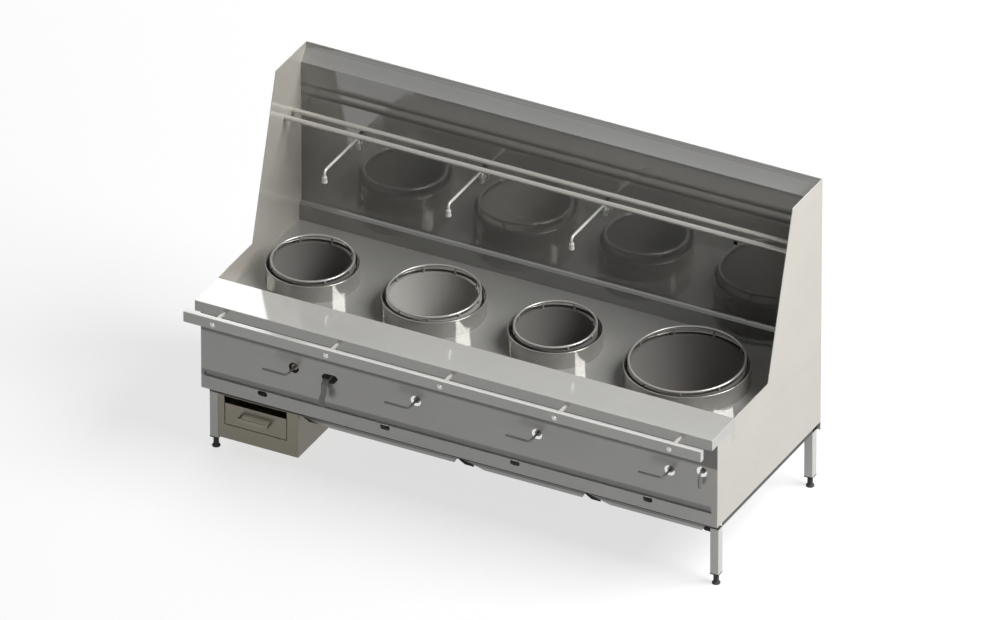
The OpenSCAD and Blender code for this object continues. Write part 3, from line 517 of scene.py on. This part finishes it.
# %% Rounding folds on a copy
merge_gap = 1e-6
flat_limit = math.radians(0.4)
fold_limit = math.radians(28)
smooth_limit = math.radians(32)
fold_steps = 3
least_width = 3
body_of_node = {
    node: body
    for body, members in frame["record"]["behaviour"]["bodies"].items() for node in members
}


def wide_enough(edge, radius):
    """True if both faces are some radii wide; a strip's width is twice its area by its outline."""
    widths = [2 * face.calc_area() / face.calc_perimeter() for face in edge.link_faces]
    return min(widths) > least_width * radius


def round_folds(solid, radius):
    folds = [
        edge for edge in solid.edges
        if len(edge.link_faces) == 2 and edge.is_convex
        and edge.calc_face_angle() > fold_limit and wide_enough(edge, radius)
    ]
    bmesh.ops.bevel(
        solid, geom=folds, offset=radius, segments=fold_steps, profile=0.5, affect="EDGES",
        clamp_overlap=True)
    return len(folds)


def even_shading(piece):
    """Normals that follow the large faces, so that roundings do not darken them."""
    weigh = piece.modifiers.new("even", "WEIGHTED_NORMAL")
    weigh.keep_sharp = True
    plain = bpy.data.meshes.new_from_object(
        piece.evaluated_get(bpy.context.evaluated_depsgraph_get()))
    piece.modifiers.clear()
    piece.data = plain


def stand_for(piece, *nodes):
    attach(piece, body_of_node[nodes[0]])
    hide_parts(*nodes)
    return piece


print(len(body_of_node), "nodes to dress")

# %% Dressing one node
def whole_faces(node):
    """A copy of the node's CAD mesh, with its flat triangles joined."""
    solid = bmesh.new()
    solid.from_mesh(frame["nodes"][node].data)
    bmesh.ops.remove_doubles(solid, verts=solid.verts, dist=merge_gap)
    bmesh.ops.dissolve_limit(
        solid, angle_limit=flat_limit, verts=solid.verts, edges=solid.edges, delimit={"NORMAL"})
    return solid


def dress(node, finish, radius=0.0):
    solid = whole_faces(node)
    folds = round_folds(solid, radius) if radius else 0
    mesh = bpy.data.meshes.new(node + "_dressed")
    solid.to_mesh(mesh)
    solid.free()
    mesh.materials.append(finish)
    mesh.shade_smooth()
    mesh.set_sharp_from_angle(angle=smooth_limit)
    piece = bpy.data.objects.new(node + "_dressed", mesh)
    bpy.context.scene.collection.objects.link(piece)
    even_shading(piece)
    stand_for(piece, node)
    return folds


# %% Sheets, bars and tubes
folded = {
    "front_ledge": (ledge_steel, 0.003),
    "burner_deck": (deck_steel, 0.0005),
    "left_cheek": (cheek_steel, 0.002),
    "right_cheek": (cheek_steel, 0.002),
    "backsplash": (splash_steel, 0.002),
    "rear_panel": (back_steel, 0.0005),
    "left_side_panel": (cheek_steel, 0.0015),
    "right_side_panel": (cheek_steel, 0.0015),
    "front_fascia": (fascia_steel, 0.0015),
    "bumper_bar": (bumper_steel, 0.003),
    "drawer_cabinet": (cabinet_steel, 0.0015),
    "drawer": (cabinet_steel, 0.0012),
    "drawer_handle": (handle_steel, 0.001),
    "drawer_runners": (pipe_steel, 0.0005),
    "bay_panels": (bay_steel, 0.001),
    "bay_dividers": (divider_black, 0.001),
    "frame_long_rails": (frame_paint, 0.001),
    "frame_cross_rails": (frame_paint, 0.001),
    "legs": (leg_steel, 0.003),
    "feet": (foot_rubber, 0.001),
    "knee_lever": (lever_steel, 0.001),
    "knee_lever_bracket": (pipe_steel, 0.001),
    "tap_caps": (cap_black, 0.001),
    "gas_valves": (valve_brass, 0.002),
    "water_valve": (valve_brass, 0.002),
}
for node, (finish, radius) in folded.items():
    print(node, dress(node, finish, radius), "folds")

# %% Round pieces
turned = {
    "burner_heads": burner_iron,
    "gas_manifold": pipe_steel,
    "gas_supply_pipe": pipe_steel,
    "burner_feed_pipes": pipe_steel,
    "water_pipe": pipe_steel,
    "water_valve_handle": lever_steel,
    "rear_utensil_rail": rail_steel,
    "front_utensil_rail": rail_steel,
    "bumper_standoffs": rail_steel,
}
for number in "1234":
    turned["collar_" + number] = collar_steel
    turned["chamber_" + number] = clean_chamber if number == "2" else used_chamber
    turned["valve_lever_" + number] = lever_steel
for number in "123":
    turned["tap_body_" + number] = tap_steel
    turned["tap_nozzle_" + number] = spout_steel
for node, finish in turned.items():
    dress(node, finish)
print(len(turned), "round pieces")

# %% [markdown]
# ## Recipes for pieces that follow a rule
# Three kinds of piece here follow a rule: a wok ring is a bar bent to a circle with a post at every
# step, a spout is a tube along a bent path, and the bumper's bolts repeat along a line. Geometry
# Nodes suit them, because one tree makes every copy from a few named sizes. The class below builds
# such a tree, runs it once on an empty mesh and keeps the result as a plain mesh.

# %% A class for recipes
class Recipe(Nodes):
    """A Geometry Nodes tree with named sizes, made into plain pieces."""

    socket_kinds = {float: "NodeSocketFloat", int: "NodeSocketInt", tuple: "NodeSocketVector"}

    def __init__(self, name, **sizes):
        super().__init__(bpy.data.node_groups.new(name, "GeometryNodeTree"))
        self.keys = {}
        for label, kind in sizes.items():
            socket = self.tree.interface.new_socket(
                label, in_out="INPUT", socket_type=self.socket_kinds[kind])
            self.keys[label] = socket.identifier
        self.tree.interface.new_socket("Shape", in_out="OUTPUT", socket_type="NodeSocketGeometry")
        self.given = self.tree.nodes.new("NodeGroupInput")

    def size(self, label):
        return Value(self, self.given.outputs[label])

    def vector(self, x, y, z):
        return self.add("ShaderNodeCombineXYZ", {}, {0: x, 1: y, 2: z})

    def function(self, operation, value):
        return self.add("ShaderNodeMath", {"operation": operation}, {0: value})

    def place(self, shape, **moves):
        return self.add("GeometryNodeTransform", {}, {"Geometry": shape, **moves})

    def tube(self, path, thickness, sides=20, caps=False):
        round_section = self.add("GeometryNodeCurvePrimitiveCircle", {}, {
            "Resolution": sides, "Radius": 0.5 * thickness})
        return self.add("GeometryNodeCurveToMesh", {}, {
            "Curve": path, "Profile Curve": round_section, "Fill Caps": caps})

    def close(self, shapes, finish):
        whole = self.add("GeometryNodeJoinGeometry", {}, {"Geometry": shapes})
        real = self.add("GeometryNodeRealizeInstances", {}, {"Geometry": whole})
        dressed = self.add("GeometryNodeSetMaterial", {}, {"Geometry": real, "Material": finish})
        self.add("NodeGroupOutput", {}, {"Shape": dressed})
        print("recipe", self.tree.name, "with", len(self.tree.nodes), "nodes")

    def make(self, name, **sizes):
        start = bpy.data.objects.new(name, bpy.data.meshes.new(name + "_start"))
        bpy.context.scene.collection.objects.link(start)
        modifier = start.modifiers.new("recipe", "NODES")
        modifier.node_group = self.tree
        for label, value in sizes.items():
            modifier[self.keys[label]] = value
        graph = bpy.context.evaluated_depsgraph_get()
        start.data = bpy.data.meshes.new_from_object(start.evaluated_get(graph))
        start.modifiers.clear()
        start.data.shade_smooth()
        start.data.set_sharp_from_angle(angle=smooth_limit)
        return start


print("recipes ready")

# %% [markdown]
# ## Wok rings
# Each ring is a polished round bar that leans a little to the front, so that a wok tips towards the
# cook. Its posts stand upright on the chamber's rim and grow towards the back to meet the bar, and
# each is welded on with a small bead. In the tree a post is one metre tall and is scaled at each
# point to the height that the leaning bar has there.

# %% Ring recipe: the bar
ring = Recipe(
    "wok_ring", Middle=tuple, Radius=float, Bar=float, Lean=float, Front=float, Posts=int,
    Post=float)
bar_steps = 120
lean = ring.size("Lean")
rise = ring.size("Radius") * ring.function("SINE", lean)
bar_path = ring.place(
    ring.add("GeometryNodeCurvePrimitiveCircle", {}, {
        "Resolution": bar_steps, "Radius": ring.size("Radius")}),
    Rotation=ring.vector(lean, 0.0, 0.0),
    Translation=ring.vector(0.0, 0.0, ring.size("Front") + rise))
bar = ring.tube(bar_path, ring.size("Bar"))
print("bar of", bar_steps, "steps")

# %% Ring recipe: the posts
post_sides = 20
feet = ring.place(
    ring.add("GeometryNodeCurvePrimitiveCircle", {}, {
        "Resolution": ring.size("Posts"), "Radius": ring.size("Radius")}),
    Rotation=(0.0, 0.0, math.pi / 2))
depth = ring.add("ShaderNodeSeparateXYZ", {}, {0: ring.add("GeometryNodeInputPosition")}, "Y")
height = ring.size("Front") + rise + depth * ring.function("TANGENT", lean)
upright = ring.place(
    ring.add("GeometryNodeMeshCylinder", {}, {
        "Vertices": post_sides, "Radius": 0.5 * ring.size("Post"), "Depth": 1.0}),
    Translation=(0.0, 0.0, 0.5))
posts = ring.add("GeometryNodeInstanceOnPoints", {}, {
    "Points": feet, "Instance": upright, "Scale": ring.vector(1.0, 1.0, height)})
print("posts with", post_sides, "sides")

# %% Ring recipe: the weld beads
bead_width, bead_flatness, bead_drop = 0.62, 0.45, 0.42
bead = ring.add("GeometryNodeMeshUVSphere", {}, {
    "Segments": 20, "Rings": 10, "Radius": bead_width * ring.size("Post")})
joins = ring.add("GeometryNodeSetPosition", {}, {
    "Geometry": feet, "Offset": ring.vector(0.0, 0.0, height - bead_drop * ring.size("Bar"))})
beads = ring.add("GeometryNodeInstanceOnPoints", {}, {
    "Points": joins, "Instance": bead, "Scale": (1.0, 1.0, bead_flatness)})
whole_ring = ring.place(
    ring.add("GeometryNodeJoinGeometry", {}, {"Geometry": [bar, posts, beads]}),
    Translation=ring.size("Middle"))
ring.close([whole_ring], ring_steel)

# %% Four rings
ring_bar, ring_post, ring_lean = 0.011, 0.009, math.radians(3.2)
front_post = 0.008
post_counts = {"1": 8, "2": 9, "3": 8, "4": 9}
for number, post_count in post_counts.items():
    node = "wok_ring_" + number
    low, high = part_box(node)
    piece = ring.make(
        node + "_dressed",
        Middle=((low.x + high.x) / 2, (low.y + high.y) / 2, low.z),
        Radius=(high.x - low.x - ring_bar) / 2, Bar=ring_bar, Lean=ring_lean,
        Front=front_post + ring_bar / 2, Posts=post_count, Post=ring_post)
    stand_for(piece, node)
    print(node, len(piece.data.polygons), "faces")

# %% [markdown]
# ## Swing spouts
# A spout is one tube: up out of its socket, out over the deck and down to the nozzle. Four points
# give the path, a fillet bends its corners as a pipe bender would, and a round section drawn along
# it makes the tube.

# %% Spout recipe
spout = Recipe(
    "swing_spout", Foot=tuple, Rise=float, Reach=float, Drop=float, Bend=float, Tube=float)
bend_steps, tube_sides = 12, 24
number_of_point = spout.add("GeometryNodeInputIndex")
four_points = spout.add("GeometryNodeResampleCurve", {}, {
    "Curve": spout.add("GeometryNodeCurvePrimitiveLine"), "Count": 4})
route = spout.add("GeometryNodeSetPosition", {}, {
    "Geometry": four_points,
    "Position": spout.vector(
        0.0,
        0.0 - spout.size("Reach") * (number_of_point > 1.5),
        spout.size("Rise") * (number_of_point > 0.5)
        - spout.size("Drop") * (number_of_point > 2.5)),
})
bent = spout.add("GeometryNodeFilletCurve", {"mode": "POLY"}, {
    "Curve": route, "Radius": spout.size("Bend"), "Count": bend_steps})
pipe = spout.place(
    spout.tube(bent, spout.size("Tube"), tube_sides, True), Translation=spout.size("Foot"))
spout.close([pipe], spout_steel)

# %% Three spouts
tube, bend_radius, nozzle_drop = 0.012, 0.016, 0.029
for number in "123":
    node = "tap_spout_" + number
    low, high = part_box(node)
    foot = ((low.x + high.x) / 2, high.y - tube / 2, low.z)
    piece = spout.make(
        node + "_dressed", Foot=foot, Rise=high.z - tube / 2 - low.z,
        Reach=high.y - low.y - tube, Drop=nozzle_drop, Bend=bend_radius, Tube=tube)
    stand_for(piece, node)
    print(node, len(piece.data.polygons), "faces")

# %% [markdown]
# ## Bolts and screws
# The bumper is held by a bolt at each standoff: a low domed head on a washer. The tree sets points
# along a line, turns each head to face the front, and flattens a sphere to a dome on one side. The
# same tree with a half turn and smaller heads gives the screws that hold the rear panel's edges.

# %% Bolt recipe: one head
bolts = Recipe(
    "bolt_row", First=tuple, Step=tuple, Count=int, Head=float, Height=float, Turn=float)
washer_share, dome_share, base_flatness = 0.3, 0.42, 0.1
washer_height = washer_share * bolts.size("Height")
dome_height = bolts.size("Height") - washer_height
washer = bolts.place(
    bolts.add("GeometryNodeMeshCylinder", {}, {
        "Vertices": 36, "Radius": 0.5 * bolts.size("Head"), "Depth": washer_height}),
    Translation=bolts.vector(0.0, 0.0, 0.5 * washer_height))
dome_radius = dome_share * bolts.size("Head")
ball = bolts.add("GeometryNodeMeshUVSphere", {}, {
    "Segments": 28, "Rings": 16, "Radius": dome_radius})
corner = bolts.add("GeometryNodeInputPosition")
across, up, along = (
    bolts.add("ShaderNodeSeparateXYZ", {}, {0: corner}, axis) for axis in "XYZ")
flatness = bolts.add("ShaderNodeMath", {"operation": "DIVIDE"}, {0: dome_height, 1: dome_radius})
squeeze = base_flatness + (flatness - base_flatness) * (along > 0.0)
dome = bolts.add("GeometryNodeSetPosition", {}, {
    "Geometry": ball, "Position": bolts.vector(across, up, along * squeeze + washer_height)})
head = bolts.add("GeometryNodeJoinGeometry", {}, {"Geometry": [washer, dome]})
print("one head built")

# %% Bolt recipe: the row
places = bolts.add("GeometryNodeMeshLine", {}, {
    "Count": bolts.size("Count"), "Start Location": bolts.size("First"),
    "Offset": bolts.size("Step")})
row = bolts.add("GeometryNodeInstanceOnPoints", {}, {
    "Points": places, "Instance": head,
    "Rotation": bolts.vector(math.pi / 2, 0.0, bolts.size("Turn"))})
bolts.close([row], bolt_steel)

# %% Row of bolts
low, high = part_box("bumper_bolts")
head_width, bolt_count = high.z - low.z, 5
step = (high.x - low.x - head_width) / (bolt_count - 1)
piece = bolts.make(
    "bumper_bolts_dressed",
    First=(low.x + head_width / 2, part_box("bumper_bar")[0].y, (low.z + high.z) / 2),
    Step=(step, 0.0, 0.0), Count=bolt_count, Head=head_width,
    Height=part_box("bumper_bar")[0].y - low.y, Turn=0.0)
stand_for(piece, "bumper_bolts")
print("bolts", bolt_count, "at", round(step, 4), "m")

# %% Screws round the rear panel
panel_low, panel_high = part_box("rear_panel")
screw_inset, screw_head, screw_height = 0.022, 0.012, 0.003
level_count, upright_count = 9, 4
left, right = panel_low.x + screw_inset, panel_high.x - screw_inset
bottom, top = panel_low.z + screw_inset, panel_high.z - screw_inset
level_step = ((right - left) / (level_count - 1), 0.0, 0.0)
upright_step = (0.0, 0.0, (top - bottom) / (upright_count + 1))
lowest_upright = bottom + upright_step[2]
screw_rows = {
    "rear_screws_top": (left, top, level_step, level_count),
    "rear_screws_bottom": (left, bottom, level_step, level_count),
    "rear_screws_left": (left, lowest_upright, upright_step, upright_count),
    "rear_screws_right": (right, lowest_upright, upright_step, upright_count),
}
for name, (first_x, first_z, step, count_along) in screw_rows.items():
    piece = bolts.make(
        name, First=(first_x, panel_high.y, first_z), Step=step, Count=count_along,
        Head=screw_head, Height=screw_height, Turn=math.pi)
    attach(piece, body_of_node["rear_panel"])
    print(name, count_along)

# %% [markdown]
# ## Size of the dressed model
# The dressed model should keep the CAD model's size; the box around it is printed.

# %% Sizes and finish
low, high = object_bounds()
print("visual box", [round(v, 4) for v in high - low])
